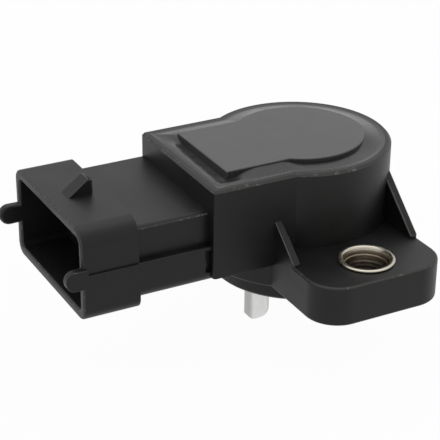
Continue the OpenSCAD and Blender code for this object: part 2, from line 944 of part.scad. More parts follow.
// A brush: a strip that drops from the wiper plate to its track and turns up at the tip.
module brush(r, w) {
    drop = wiper_z - track_top - brush_gap;
    root = -r * sin(1.5 * spread);
    turn = 0.25 * drop;
    rotate(wiper_angle)
        translate([r + w / 2, 0, track_top + brush_gap])
            rotate([90, 0, -90])
                mirror([1, 0, 0])
                    linear_extrude(w)
                        polygon([
                            [root - brush_root, drop], [root, drop - wiper_t], [-turn, 0], [turn, 0],
                            [2 * turn, turn], [2 * turn - wiper_t, turn + wiper_t / 2], [turn / 2, wiper_t],
                            [-turn / 2, wiper_t], [root + brush_root, drop]
                        ]);
}

module outer_brush() {
    color("#d9bd78")
        brush(resistor_r, outer_brush_w);
}

module inner_brush() {
    color("#d9bd78")
        brush(collector_r, inner_brush_w);
}

module retaining_ring() {
    inner = shaft_r - ring_groove;
    gap = inner * 1.6;
    color("#8d8f92")
        translate([0, 0, hub_top])
            linear_extrude(ring_t)
                difference() {
                    circle(shaft_r + ring_w);
                    circle(inner);
                    translate([-gap / 2, 0])
                        square([gap, 2 * (shaft_r + ring_w)]);
                }
}

// Points along the spring: the fixed leg, the coil from top to bottom, and the moving leg.
coil_steps = 26;
function coil_point(t) =
    let (xy = polar(coil_r, fixed_leg + spring_sweep * t))
    [xy.x, xy.y, spring_top + (spring_bottom - spring_top) * t];
function spring_path() = [
    let (xy = polar(coil_r + leg_reach, fixed_leg)) [xy.x, xy.y, spring_top],
    for (i = [0:coil_steps * (coil_turns + 1)]) coil_point(i / (coil_steps * (coil_turns + 1))),
    let (xy = polar(coil_r, moving_leg)) [xy.x, xy.y, lever_bottom + 1]
];
wire_sides = 8;

function unit(v) = v / norm(v);
function heading(p, i) = unit(p[min(i + 1, len(p) - 1)] - p[max(i - 1, 0)]);
// Each ring of the wire stands square to the path, with one side of it facing the shaft axis.
function wire_ring(p, i) =
    let (
        t = heading(p, i),
        radial = unit([p[i].x, p[i].y, 0]),
        guide = abs(t * radial) > 0.9 ? [0, 0, 1] : radial,
        a = unit(cross(t, guide)),
        b = cross(a, t)
    )
    [for (k = [0:wire_sides - 1]) p[i] + wire_r * (a * cos(360 * k / wire_sides) + b * sin(360 * k / wire_sides))];

module return_spring() {
    path = spring_path();
    count = len(path);
    rings = [for (i = [0:count - 1]) each wire_ring(path, i)];
    walls = [
        for (i = [0:count - 2], k = [0:wire_sides - 1])
            let (n = (k + 1) % wire_sides, a = i * wire_sides, b = a + wire_sides)
            [a + k, a + n, b + n, b + k]
    ];
    first_cap = [for (k = [wire_sides - 1:-1:0]) k];
    last_cap = [for (k = [0:wire_sides - 1]) (count - 1) * wire_sides + k];
    color("#9a9c9e")
        polyhedron(points = rings, faces = concat(walls, [first_cap, last_cap]), convexity = 10);
}

housing();
cover();
sealing_compound();
front_sleeve();
rear_sleeve();
terminal(1);  // terminal_1
terminal(2);  // terminal_2
terminal(3);  // terminal_3
rivet(1);  // rivet_1
rivet(2);  // rivet_2
rivet(3);  // rivet_3
resistor_board();
resistor_track();
collector_track();
bearing_bush();
shaft_seal();
shaft();
drive_lever();
thrust_washer();
wiper_carrier();
wiper_plate();
outer_brush();
inner_brush();
retaining_ring();
return_spring();
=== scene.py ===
"""The looks of a throttle position sensor.

Softened edges, poured compound, turned sleeves, a spring of round wire, materials, light and camera.
"""

import math

import bmesh
import bpy
import numpy as np
from mathutils import Matrix, Vector, noise
from mathutils.bvhtree import BVHTree
from mathutils.kdtree import KDTree


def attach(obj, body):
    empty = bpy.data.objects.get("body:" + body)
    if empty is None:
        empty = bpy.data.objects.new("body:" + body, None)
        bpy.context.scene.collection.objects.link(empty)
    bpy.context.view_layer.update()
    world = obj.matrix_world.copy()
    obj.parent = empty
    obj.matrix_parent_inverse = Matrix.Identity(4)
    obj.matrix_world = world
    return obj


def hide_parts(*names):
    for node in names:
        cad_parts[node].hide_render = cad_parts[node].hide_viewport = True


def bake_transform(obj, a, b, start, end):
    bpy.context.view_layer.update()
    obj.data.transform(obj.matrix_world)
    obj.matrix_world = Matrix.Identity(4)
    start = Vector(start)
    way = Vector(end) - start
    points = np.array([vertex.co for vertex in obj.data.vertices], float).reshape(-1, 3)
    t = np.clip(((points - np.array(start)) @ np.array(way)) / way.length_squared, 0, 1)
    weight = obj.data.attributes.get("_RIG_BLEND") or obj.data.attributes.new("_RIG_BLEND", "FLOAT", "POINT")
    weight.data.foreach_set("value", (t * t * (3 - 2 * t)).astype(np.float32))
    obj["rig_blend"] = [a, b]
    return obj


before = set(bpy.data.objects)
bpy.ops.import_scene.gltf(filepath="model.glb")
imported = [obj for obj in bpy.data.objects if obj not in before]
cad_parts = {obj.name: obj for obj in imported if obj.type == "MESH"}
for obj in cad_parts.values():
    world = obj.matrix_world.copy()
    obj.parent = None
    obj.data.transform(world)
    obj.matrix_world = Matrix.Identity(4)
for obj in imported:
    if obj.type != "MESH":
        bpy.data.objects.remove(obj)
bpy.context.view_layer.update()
MM = 0.001


# The camera, placed and turned as the photograph was taken
CAMERA_PLACE = Vector((-121.647, -199.731, 120.283)) * MM
CAMERA_ELEVATION = math.radians(26.5)
CAMERA_AZIMUTH = math.radians(-28.2)
CAMERA_ROLL = math.radians(0.56)
SENSOR_WIDTH = 36.0
FOCAL_PIXELS = 1532
PHOTO_WIDTH_PIXELS = 440
LENS = SENSOR_WIDTH * FOCAL_PIXELS / PHOTO_WIDTH_PIXELS


def make_camera():
    data = bpy.data.cameras.new("photo_camera")
    data.sensor_width = SENSOR_WIDTH
    data.lens = LENS
    data.clip_start = 0.01
    data.clip_end = 20.0
    camera = bpy.data.objects.new("photo_camera", data)
    bpy.context.scene.collection.objects.link(camera)
    ahead = Vector((
        -math.sin(CAMERA_AZIMUTH) * math.cos(CAMERA_ELEVATION),
        math.cos(CAMERA_AZIMUTH) * math.cos(CAMERA_ELEVATION),
        -math.sin(CAMERA_ELEVATION),
    ))
    level = Vector((math.cos(CAMERA_AZIMUTH), math.sin(CAMERA_AZIMUTH), 0.0))
    above = level.cross(ahead)
    right = level * math.cos(CAMERA_ROLL) + above * math.sin(CAMERA_ROLL)
    up = above * math.cos(CAMERA_ROLL) - level * math.sin(CAMERA_ROLL)
    turn = Matrix((right, up, -ahead)).transposed().to_4x4()
    camera.matrix_world = Matrix.Translation(CAMERA_PLACE) @ turn
    bpy.context.scene.camera = camera


make_camera()
bpy.context.scene.view_settings.view_transform = "Standard"


# Helpers for node materials
NOISE_LOW = 0.3
NOISE_HIGH = 0.7
WEAR_PATCH_MM = 0.9
WEAR_PATCHES = (0.57, 0.71)
# At least this share of the edge colour on every marked edge, as a painted sheen
LEAST_SHEEN = 0.2
# The share of the edge colour on the ribs' and ramp's edges, as a painted glint
GLINT_SHARE = 0.85


class Nodes:
    """A material's node tree, with short calls for the nodes that the materials here share."""

    def __init__(self, name):
        self.material = bpy.data.materials.new(name)
        self.material.use_nodes = True
        self.tree = self.material.node_tree
        self.shader = self.tree.nodes["Principled BSDF"]
        self.place = self.node("ShaderNodeTexCoord").outputs["Object"]

    def node(self, kind, **settings):
        made = self.tree.nodes.new(kind)
        for key, value in settings.items():
            setattr(made, key, value)
        return made

    def link(self, source, target):
        self.tree.links.new(source, target)

    def put(self, socket, value):
        """Links a socket to an output, or sets it to a number or a colour."""
        if isinstance(value, bpy.types.NodeSocket):
            self.link(value, socket)
        elif isinstance(value, (tuple, list)) and len(value) == 3 and socket.type == "RGBA":
            socket.default_value = (*value, 1.0)
        else:
            socket.default_value = value

    def set(self, **inputs):
        """Sets the shader's inputs, with _ for each space in a name."""
        for key, value in inputs.items():
            self.put(self.shader.inputs[key.replace("_", " ")], value)

    def scaled(self, size_mm, stretch=(1, 1, 1)):
        """The place on the object, in steps of size_mm."""
        made = self.node("ShaderNodeMapping")
        self.link(self.place, made.inputs["Vector"])
        made.inputs["Scale"].default_value = [s / (size_mm * MM) for s in stretch]
        return made.outputs["Vector"]

    def axis(self, letter):
        """The place on the object along one axis, in metres."""
        made = self.node("ShaderNodeSeparateXYZ")
        self.link(self.place, made.inputs["Vector"])
        return made.outputs[letter]

    def texture(self, kind, places):
        """A texture node that takes the places as they are."""
        made = self.node(kind)
        self.link(places, made.inputs["Vector"])
        made.inputs["Scale"].default_value = 1.0
        return made

    def noise(self, size_mm, detail=2.0, rough=0.5, stretch=(1, 1, 1), distortion=0.0):
        """Noise between 0 and 1 whose features are about size_mm across."""
        made = self.texture("ShaderNodeTexNoise", self.scaled(size_mm, stretch))
        made.inputs["Detail"].default_value = detail
        made.inputs["Roughness"].default_value = rough
        made.inputs["Distortion"].default_value = distortion
        return made.outputs["Fac"]

    def spread(self, value, low, high, to_low=0.0, to_high=1.0):
        """Maps low..high to to_low..to_high, and holds it there outside."""
        made = self.node("ShaderNodeMapRange")
        self.put(made.inputs["Value"], value)
        for key, number in (("From Min", low), ("From Max", high), ("To Min", to_low), ("To Max", to_high)):
            self.put(made.inputs[key], number)
        return made.outputs["Result"]

    def evened(self, value, to_low=0.0, to_high=1.0):
        """Spreads a noise over to_low..to_high, from the part of its range where most of it lies."""
        return self.spread(value, NOISE_LOW, NOISE_HIGH, to_low, to_high)

    def math(self, operation, a, b):
        made = self.node("ShaderNodeMath", operation=operation)
        self.put(made.inputs[0], a)
        self.put(made.inputs[1], b)
        return made.outputs[0]

    def blend(self, share, a, b):
        made = self.node("ShaderNodeMix", data_type="RGBA")
        self.put(made.inputs["Factor"], share)
        self.put(made.inputs["A"], a)
        self.put(made.inputs["B"], b)
        return made.outputs["Result"]

    def bump(self, height, depth_mm, below=None):
        made = self.node("ShaderNodeBump")
        made.inputs["Strength"].default_value = 1.0
        made.inputs["Distance"].default_value = depth_mm * MM
        self.put(made.inputs["Height"], height)
        if below is not None:
            self.link(below, made.inputs["Normal"])
        return made.outputs["Normal"]

    def wear_and_sheen(self):
        """The share of the edge colour: a little, as painted sheen, on every marked edge but full in scuffed
        patches, and an even painted glint on the glinting edges.
        """
        edge = self.node("ShaderNodeAttribute", attribute_name="wear_and_sheen").outputs["Fac"]
        edge_glint = self.node("ShaderNodeAttribute", attribute_name="edge_glint").outputs["Fac"]
        patchy = self.noise(WEAR_PATCH_MM, detail=3.0, rough=0.65)
        patches = self.spread(patchy, *WEAR_PATCHES, LEAST_SHEEN, 1.0)
        wear_and_sheen = self.math("MULTIPLY", self.spread(edge, 0.1, 0.9), patches)
        return self.math("MAXIMUM", wear_and_sheen, self.math("MULTIPLY", edge_glint, GLINT_SHARE))


def tint(colour, factor):
    return tuple(min(1.0, c * factor) for c in colour)


# The materials
PLASTIC_CLOUD_MM = 6.0
FLECK_MM = 0.18
WORN_ROUGHER = 0.15
METAL_CLOUD_MM = 3.5
DULL_SPOT_MM = 0.45
# The bore, which turns dull and darker with painted shade from the first height to the second
BORE_PLATED = (0.24, 0.2, 0.15)
BORE_DULL_AND_SHADE = (0.03, 0.024, 0.019)
BORE_STAIN = (0.1, 0.07, 0.05)
BORE_SHADE_Z = (5.3 * MM, 4.3 * MM)
BORE_WAVER = 0.8 * MM
# The lever, whose rounded edges get painted shade that begins at the first place along X and is full from
# the second
STEEL_SHADES = ((0.7, 0.7, 0.69), (0.77, 0.77, 0.755))
STEEL_MARKS = (0.55, 0.55, 0.54)
STEEL_EDGE_SHADE = (0.42, 0.42, 0.41)
LEVER_OUTER_EDGE_X = (-8.5 * MM, -9.1 * MM)
LEVER_INNER_EDGE_X = (-5.9 * MM, -5.3 * MM)
# The compound and the board
RESIN_SHADES = ((0.0095, 0.0093, 0.0096), (0.013, 0.0126, 0.0125))
RESIN_DUST = (0.05, 0.048, 0.044)
RESIN_LEVEL = 0.44
DIMPLE_SPACING_MM = 2.6
LAMINATE_SHADES = ((0.03, 0.085, 0.045), (0.045, 0.12, 0.065))
WEAVE_MM = 0.35


def plastic(name, shade, roughness, level, grain_mm=0.35, depth_mm=0.012, wear_and_sheen_colour=None):
    """Moulded plastic: a fine grain, faint clouds and flecks, and scuffed edges with painted sheen and
    glints if a colour is given for them.
    """
    m = Nodes(name)
    cloud = m.noise(PLASTIC_CLOUD_MM, detail=3.0)
    grain = m.noise(grain_mm, detail=3.0, rough=0.6)
    flecks = m.spread(m.noise(FLECK_MM, detail=1.0), 0.68, 0.8, to_high=0.3)
    base = m.blend(m.evened(cloud), tint(shade, 0.82), tint(shade, 1.2))
    colour = m.blend(flecks, base, tint(shade, 2.4))
    uneven = m.math("ADD", cloud, m.math("MULTIPLY", grain, 0.5))
    rough = m.spread(uneven, 0.4, 1.1, roughness - 0.05, roughness + 0.07)
    if wear_and_sheen_colour is not None:
        share = m.wear_and_sheen()
        colour = m.blend(share, colour, wear_and_sheen_colour)
        rough = m.math("ADD", rough, m.math("MULTIPLY", share, WORN_ROUGHER))
    m.set(Base_Color=colour, Roughness=rough, Specular_IOR_Level=level)
    m.set(Normal=m.bump(grain, depth_mm))
    return m.material


def metal(name, shade, roughness, grain_mm=0.5, stretch=(1, 1, 1), depth_mm=0.004, dull=None, spots=0.0):
    """Worked metal: fine marks along one way, faint clouds, and spots of the dull colour if it is given."""
    m = Nodes(name)
    marks = m.noise(grain_mm, detail=4.0, rough=0.6, stretch=stretch)
    cloud = m.noise(METAL_CLOUD_MM, detail=3.0)
    base = m.blend(m.evened(cloud), tint(shade, 0.9), tint(shade, 1.05))
    colour = m.blend(m.spread(marks, 0.35, 0.7, to_high=0.35), base, tint(shade, 0.72))
    if dull is not None:
        pits = m.spread(m.noise(DULL_SPOT_MM, detail=2.0), 0.62, 0.74, to_high=spots)
        colour = m.blend(pits, colour, dull)
    rough = m.spread(m.math("ADD", cloud, marks), 0.7, 1.3, roughness - 0.06, roughness + 0.1)
    m.set(Base_Color=colour, Metallic=1.0, Roughness=rough, Normal=m.bump(marks, depth_mm))
    return m.material


def bore_metal(name):
    """The inside of a sleeve: plated near its mouth, and dull with painted shade further down."""
    m = Nodes(name)
    marks = m.noise(0.3, detail=4.0, stretch=(0.3, 0.3, 3))
    cloud = m.noise(1.5, detail=3.0)
    wavering = m.math("ADD", m.axis("Z"), m.math("MULTIPLY", cloud, BORE_WAVER))
    # Painted shade: the bore darkens further down
    painted_shade = m.spread(wavering, *BORE_SHADE_Z)
    colour = m.blend(painted_shade, BORE_PLATED, BORE_DULL_AND_SHADE)
    stained = m.blend(m.spread(marks, 0.4, 0.75, to_high=0.5), colour, BORE_STAIN)
    m.set(Base_Color=stained, Metallic=1.0)
    m.set(Roughness=m.evened(cloud, 0.34, 0.5), Normal=m.bump(marks, 0.006))
    return m.material


def lever_metal(name):
    """Bright plated steel: rolled faces with long marks, and painted shade on its rounded edges."""
    m = Nodes(name)
    x = m.axis("X")
    marks = m.noise(0.8, detail=4.0, stretch=(3, 3, 0.4))
    cloud = m.noise(3.0, detail=3.0)
    # Painted shade on the lever's rounded edges
    edge = m.math("MAXIMUM", m.spread(x, *LEVER_OUTER_EDGE_X), m.spread(x, *LEVER_INNER_EDGE_X))
    face = m.blend(m.evened(cloud), *STEEL_SHADES)
    face = m.blend(m.spread(marks, 0.4, 0.75, to_high=0.2), face, STEEL_MARKS)
    m.set(Base_Color=m.blend(edge, face, STEEL_EDGE_SHADE), Metallic=1.0)
    m.set(Roughness=m.spread(m.math("ADD", cloud, marks), 0.7, 1.3, 0.28, 0.42))
    m.set(Normal=m.bump(marks, 0.004))
    return m.material


def compound(name):
    """Poured resin: smooth and glossy, with slow waves, a few bubbles' dimples and dusty patches."""
    m = Nodes(name)
    cloud = m.noise(4.0, detail=3.0, distortion=0.6)
    dust = m.noise(0.25, detail=3.0, rough=0.7)
    shade = m.blend(m.evened(cloud), *RESIN_SHADES)
    m.set(Base_Color=m.blend(m.spread(dust, 0.66, 0.82, to_high=0.06), shade, RESIN_DUST))
    m.set(Roughness=m.evened(cloud, 0.22, 0.3), Specular_IOR_Level=RESIN_LEVEL)
    waves = m.bump(m.noise(3.0, detail=0.0), 0.03)
    bubbles = m.texture("ShaderNodeTexVoronoi", m.scaled(DIMPLE_SPACING_MM))
    hollow = m.spread(bubbles.outputs["Distance"], 0.03, 0.1)
    m.set(Normal=m.bump(hollow, 0.02, below=waves))
    return m.material


def laminate(name):
    """Glass cloth laminate: a fine weave that shows through a green satin lacquer."""
    m = Nodes(name)
    weave = m.texture("ShaderNodeTexChecker", m.scaled(WEAVE_MM)).outputs["Fac"]
    cloud = m.noise(4.0, detail=3.0)
    threads = m.math("MULTIPLY", weave, m.evened(cloud, 0.3, 1.0))
    m.set(Base_Color=m.blend(threads, *LAMINATE_SHADES))
    m.set(Roughness=m.evened(cloud, 0.35, 0.5), Normal=m.bump(weave, 0.005))
    return m.material


BLACK = (0.0088, 0.0086, 0.0084)
# The colour of scuffed edges, which also paints a sheen and glints on edges
EDGE_WEAR_AND_SHEEN = (0.17, 0.165, 0.155)
HOUSING = plastic("moulded_black", BLACK, roughness=0.42, level=0.28, wear_and_sheen_colour=EDGE_WEAR_AND_SHEEN)
COVER = plastic(
    "cover_black", (0.016, 0.016, 0.0163), roughness=0.36, level=0.78, grain_mm=0.5, depth_mm=0.008,
)
COMPOUND = compound("poured_resin")
NICKEL = metal(
    "plated_sleeve", (0.56, 0.52, 0.44), roughness=0.28, grain_mm=0.6, stretch=(0.3, 0.3, 3),
    depth_mm=0.002, dull=(0.25, 0.18, 0.1), spots=0.4,
)
BORE = bore_metal("bore_with_painted_shade")
BRIGHT = lever_metal("bright_steel")
GROUND = metal("ground_steel", (0.6, 0.6, 0.61), roughness=0.25, grain_mm=0.4, stretch=(0.2, 0.2, 4))
TINNED = metal(
    "tinned_brass", (0.72, 0.66, 0.5), roughness=0.3, grain_mm=0.7, stretch=(0.3, 3, 3),
    dull=(0.3, 0.24, 0.14), spots=0.4,
)
STRIP = metal("spring_strip", (0.72, 0.56, 0.28), roughness=0.28, grain_mm=0.5, stretch=(0.4, 3, 3))
BRONZE = metal(
    "sintered_bronze", (0.5, 0.34, 0.18), roughness=0.42, grain_mm=0.25, depth_mm=0.02,
    dull=(0.08, 0.05, 0.03), spots=0.9,
)
WIRE = metal(
    "drawn_wire", (0.42, 0.42, 0.43), roughness=0.3, grain_mm=0.3, dull=(0.1, 0.09, 0.08), spots=0.5,
)
NYLON = plastic("natural_nylon", (0.62, 0.58, 0.47), roughness=0.42, level=0.5, grain_mm=0.5)
RUBBER = plastic(
    "seal_rubber", (0.014, 0.014, 0.014), roughness=0.6, level=0.4, grain_mm=0.25, depth_mm=0.02,
)
CARBON = plastic(
    "carbon_ink", (0.012, 0.012, 0.013), roughness=0.38, level=0.5, grain_mm=0.2, depth_mm=0.003,
)
SILVER_INK = plastic(
    "silver_ink", (0.3, 0.28, 0.23), roughness=0.45, level=0.5, grain_mm=0.2, depth_mm=0.004,
)
BOARD = laminate("board_laminate")

DRESS = {
    TINNED: ("terminal_1", "terminal_2", "terminal_3", "rivet_1", "rivet_2", "rivet_3"),
    BOARD: ("resistor_board",),
    CARBON: ("resistor_track",),
    SILVER_INK: ("collector_track",),
    BRONZE: ("bearing_bush",),
    RUBBER: ("shaft_seal",),
    GROUND: ("shaft",),
    NYLON: ("thrust_washer", "wiper_carrier"),
    STRIP: ("wiper_plate", "outer_brush", "inner_brush"),
    WIRE: ("retaining_ring",),
}


def dress_nodes():
    """Puts a material on each CAD node that stays."""
    for material, names in DRESS.items():
        for name in names:
            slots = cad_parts[name].data.materials
            slots.clear()
            slots.append(material)


dress_nodes()


# Helpers for meshes
def new_object(name, bm, materials):
    mesh = bpy.data.meshes.new(name)
    bm.to_mesh(mesh)
    bm.free()
    for material in materials:
        mesh.materials.append(material)
    for face in mesh.polygons:
        face.use_smooth = True
    obj = bpy.data.objects.new(name, mesh)
    bpy.context.scene.collection.objects.link(obj)
    return obj


def closed_object(name, bm, materials, split_degrees):
    """A new object from a closed mesh, shaded smoothly except over edges sharper than split_degrees."""
    bmesh.ops.recalc_face_normals(bm, faces=bm.faces)
    for edge in bm.edges:
        edge.smooth = edge.calc_face_angle() < math.radians(split_degrees)
    return new_object(name, bm, materials)


def turns_round(count):
    """Angles at even steps round a circle."""
    return [2 * math.pi * k / count for k in range(count)]


def bridge(bm, a, b):
    """Makes and returns the faces between two rings of corners."""
    faces = []
    for k in range(len(a)):
        n = (k + 1) % len(a)
        faces.append(bm.faces.new((a[k], a[n], b[n], b[k])))
    return faces


def stand_for(obj, node, body):
    """Hides a CAD node and puts the object on a body in its stead."""
    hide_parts(node)
    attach(obj, body)


# Softened copies of the CAD nodes
WELD = 0.002 * MM
FLAT = math.radians(0.3)
HARD_EDGE = math.radians(25)
STRAIGHT_ON = math.radians(35)
CUT_SNAP = 0.03 * MM
# Planes that cut every face that closes to a ring, each given by a point and a normal
RING_CUTS = (((0, 0, 0), (1, 0, 0)), ((0, 0, 0), (0, 1, 0)), ((0, 0, 9.5 * MM), (0, 0, 1)))
# Where along an edge the room beside it is measured, and what counts as none
PLACES_ALONG = (0.1, 0.5, 0.9)
NO_LENGTH = 1e-9
NO_WIDTH = 1e-7
BEVEL_SHARE = 0.42
BEVEL_SEGMENTS = 3
# Flaws: corners off the surface by more than this share of the width, and triangles that are larger than
# a sliver and whose normal has less than this in common with their face's
OFF_SURFACE_SHARE = 0.45
SLIVER_AREA = 1e-9
FOLDED = 0.5
# Tries at most, how near to a flaw, in widths, the edges get a narrower rounding, and how much narrower
MOST_TRIES = 6
FLAW_REACH = 2
NARROWER = 0.6


def welded_copy(node):
    """The CAD node's shape with its corners joined and its flat faces whole, but none closed to a ring."""
    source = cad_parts[node]
    bm = bmesh.new()
    bm.from_mesh(source.data)
    bm.transform(source.matrix_world)
    bmesh.ops.remove_doubles(bm, verts=bm.verts, dist=WELD)
    for place, across in RING_CUTS:
        everything = bm.verts[:] + bm.edges[:] + bm.faces[:]
        cut = bmesh.ops.bisect_plane(bm, geom=everything, dist=CUT_SNAP, plane_co=place, plane_no=across)
        for item in cut["geom_cut"]:
            if isinstance(item, bmesh.types.BMEdge):
                item.seam = True
    bmesh.ops.dissolve_limit(bm, angle_limit=FLAT, verts=bm.verts, edges=bm.edges, delimit={"SEAM"})
    bm.normal_update()
    return bm


def room_beside(edge, face):
    """How wide the face is, square to the edge, at the narrowest of three places."""
    start, end = edge.verts[0].co, edge.verts[1].co
    along = (end - start).normalized()
    loop = next(one for one in edge.link_loops if one.face == face)
    inward = face.normal.cross(loop.link_loop_next.vert.co - loop.vert.co).normalized()
    room = math.inf
    for share in PLACES_ALONG:
        origin = start.lerp(end, share)
        for other in face.edges:
            p, q = (v.co - origin for v in other.verts)
            pu, qu = p.dot(along), q.dot(along)
            if other == edge or other.seam or pu * qu > 0 or abs(qu - pu) < NO_LENGTH:
                continue
            pv, qv = p.dot(inward), q.dot(inward)
            reach = pv + (qv - pv) * -pu / (qu - pu)
            if reach > NO_WIDTH:
                room = min(room, reach)
    return room


def chains(edges):
    """The edges in runs that go on smoothly from one to the next, such as the edge round a cylinder."""
    runs = {edge: {edge} for edge in edges}
    for edge in edges:
        for vert in edge.verts:
            ends = [other for other in vert.link_edges if other in runs and other is not edge]
            if len(ends) != 1:
                continue
            other = ends[0]
            a = edge.other_vert(vert).co - vert.co
            b = other.other_vert(vert).co - vert.co
            if a.angle(-b) > STRAIGHT_ON or runs[edge] is runs[other]:
                continue
            joined = runs[edge] | runs[other]
            for one in joined:
                runs[one] = joined
    return list({id(run): run for run in runs.values()}.values())


def mark_edges(bm, width):
    """Marks hard edges as sharp, and gives each run of outer edges the share of the width that fits."""
    weights = bm.edges.layers.float.new("bevel_weight_edge")
    outer = []
    for edge in bm.edges:
        if len(edge.link_faces) != 2 or edge.calc_face_angle() < HARD_EDGE:
            continue
        edge.smooth = False
        if edge.calc_face_angle_signed() > 0:
            outer.append(edge)
    runs = chains(outer)
    for run in runs:
        room = min(room_beside(edge, face) for edge in run for face in edge.link_faces)
        share = min(1.0, BEVEL_SHARE * room / width)
        for edge in run:
            edge[weights] = share
    return runs


def apply_modifiers(obj):
    """Leaves the object with the mesh that its modifiers make, and without them."""
    depsgraph = bpy.context.evaluated_depsgraph_get()
    shaped = obj.evaluated_get(depsgraph)
    mesh = bpy.data.meshes.new_from_object(shaped, preserve_all_data_layers=True, depsgraph=depsgraph)
    obj.modifiers.clear()
    obj.data = mesh


def even_shading(obj):
    """Big faces set the shading of the small ones beside them, so that flat faces look flat."""
    weighted = obj.modifiers.new("even_shading", "WEIGHTED_NORMAL")
    weighted.mode = "FACE_AREA"
    weighted.keep_sharp = True


def rounded(bm, name, material, width):
    """A new object with the marked edges rounded, whose new faces are in the second material slot."""
    obj = new_object(name, bm, (material, material))
    bevel = obj.modifiers.new("round_edges", "BEVEL")
    bevel.width = width
    bevel.segments = BEVEL_SEGMENTS
    bevel.limit_method = "WEIGHT"
    bevel.offset_type = "OFFSET"
    bevel.use_clamp_overlap = False
    bevel.material = 1
    even_shading(obj)
    apply_modifiers(obj)
    return obj


def flaws(mesh, surface, width):
    """Places where the rounding went wrong: corners off the old surface, or triangles folded over."""
    limit = OFF_SURFACE_SHARE * width
    spots = [v.co.copy() for v in mesh.vertices if surface.find_nearest(v.co)[3] > limit]
    mesh.calc_loop_triangles()
    for piece in mesh.loop_triangles:
        whole = mesh.polygons[piece.polygon_index]
        if piece.area > SLIVER_AREA and piece.normal.dot(whole.normal) < FOLDED:
            spots.extend(mesh.vertices[k].co.copy() for k in piece.vertices)
    return spots


def narrow_near(spots, runs, weights, reach):
    """Rounds the runs of edges that come near a flaw more sharply."""
    near = KDTree(len(spots))
    for k, spot in enumerate(spots):
        near.insert(spot, k)
    near.balance()
    for run in runs:
        if min(near.find(vert.co)[2] for edge in run for vert in edge.verts) < reach:
            for edge in run:
                edge[weights] *= NARROWER


def softened(node, name, material, width):
    """A copy of a CAD node with its outer edges rounded, more sharply where the full width doesn't fit."""
    marked = welded_copy(node)
    surface = BVHTree.FromBMesh(marked)
    runs = mark_edges(marked, width)
    weights = marked.edges.layers.float["bevel_weight_edge"]
    for tries in range(1, MOST_TRIES + 1):
        obj = rounded(marked.copy(), name, material, width)
        spots = flaws(obj.data, surface, width)
        if not spots or tries == MOST_TRIES:
            break
        bpy.data.objects.remove(obj)
        narrow_near(spots, runs, weights, FLAW_REACH * width)
    marked.free()
    mark_wear_and_sheen(obj.data)
    obj.data.materials.pop(index=1)
    return obj


# Scuffs, painted sheen and painted glints on edges. Each LEAN is the range of a normal's part along an axis,
# on the faces that get them.
LEDGE_FROM_X = -22 * MM
LEDGE_Z = 9.9 * MM
LEDGE_BAND = 0.8 * MM
FOOT_EDGE_Z = 1.0 * MM
RIM_EDGE_Z = 19.1 * MM
RIM_LEAN_Z = (0.3, 0.9)
NECK_X = (-37 * MM, -22.7 * MM)
NECK_CORNER_Y = -10.9 * MM
NECK_CORNER_BAND = 0.3 * MM
NECK_LEAN_Z = (0.3, 0.65)
RIB_EDGE_X = (-11.6 * MM, 10.4 * MM)
RIB_EDGE_BAND = 0.4 * MM
RIB_FROM_Y = -11 * MM
RIB_FROM_Z = 7.2 * MM
RIB_LEAN_X = (-0.9, -0.4)
RIB_LEAST_LEAN_Z = 0.2
RAMP_CREST_X = -38.1 * MM
RAMP_EDGE_Y = -0.1 * MM
RAMP_EDGE_BAND = 0.35 * MM
RAMP_FOOT_Z = 16.0 * MM
RAMP_LEAN_Y = (-0.9, -0.5)
RAMP_MOST_LEAN_X = -0.2


def within(value, ends):
    return ends[0] < value < ends[1]


def sheltered(place):
    """Whether an edge gets neither scuffs nor painted sheen: on the connector's ledge, and round the foot,
    against the engine.
    """
    on_ledge = place.x < LEDGE_FROM_X and abs(place.z - LEDGE_Z) < LEDGE_BAND
    return on_ledge or place.z < FOOT_EDGE_Z


# The rim's outer bevel gets the edge colour as a painted highlight
def on_rim_bevel(place, normal):
    return place.z > RIM_EDGE_Z and within(normal.z, RIM_LEAN_Z)


# The neck's upper near corner gets the edge colour as a painted highlight
def on_neck_corner(place, normal):
    beside = within(place.x, NECK_X) and abs(place.y - NECK_CORNER_Y) < NECK_CORNER_BAND
    return beside and within(normal.z, NECK_LEAN_Z)


def on_rib_edge(place, normal):
    """On the upper edges, towards -X, of the ribs on the ear at -Y, which get a painted glint."""
    beside = min(abs(place.x - x) for x in RIB_EDGE_X) < RIB_EDGE_BAND
    on_slope = beside and place.y < RIB_FROM_Y and place.z > RIB_FROM_Z
    return on_slope and within(normal.x, RIB_LEAN_X) and normal.z > RIB_LEAST_LEAN_Z


def on_ramp_edge(place, normal):
    """On the edge, towards -Y, of the latch ramp's slope, which gets a painted glint."""
    beside = place.x < RAMP_CREST_X and abs(place.y - RAMP_EDGE_Y) < RAMP_EDGE_BAND
    on_slope = beside and place.z > RAMP_FOOT_Z
    return on_slope and within(normal.y, RAMP_LEAN_Y) and normal.x < RAMP_MOST_LEAN_X


def wear_and_sheen_shares(mesh):
    """1 at the face corners along the edges that get scuffs in patches and painted sheen, on the rim's bevel
    and on the neck's corner, which are painted highlights, and 0 elsewhere.
    """
    wear_and_sheen = np.ones(len(mesh.vertices), dtype=np.float32)
    for face in mesh.polygons:
        flat = face.material_index == 0 and not on_rim_bevel(face.center, face.normal)
        if flat or sheltered(face.center):
            wear_and_sheen[list(face.vertices)] = 0.0
    shares = np.array([wear_and_sheen[loop.vertex_index] for loop in mesh.loops], dtype=np.float32)
    for face in mesh.polygons:
        if on_neck_corner(face.center, face.normal):
            shares[list(face.loop_indices)] = 1.0
    return shares


def glint_shares(mesh):
    """1 at the face corners along the edges that get a painted glint from end to end, and 0 elsewhere."""
    shares = np.zeros(len(mesh.loops), dtype=np.float32)
    for face in mesh.polygons:
        if on_rib_edge(face.center, face.normal) or on_ramp_edge(face.center, face.normal):
            shares[list(face.loop_indices)] = 1.0
    return shares


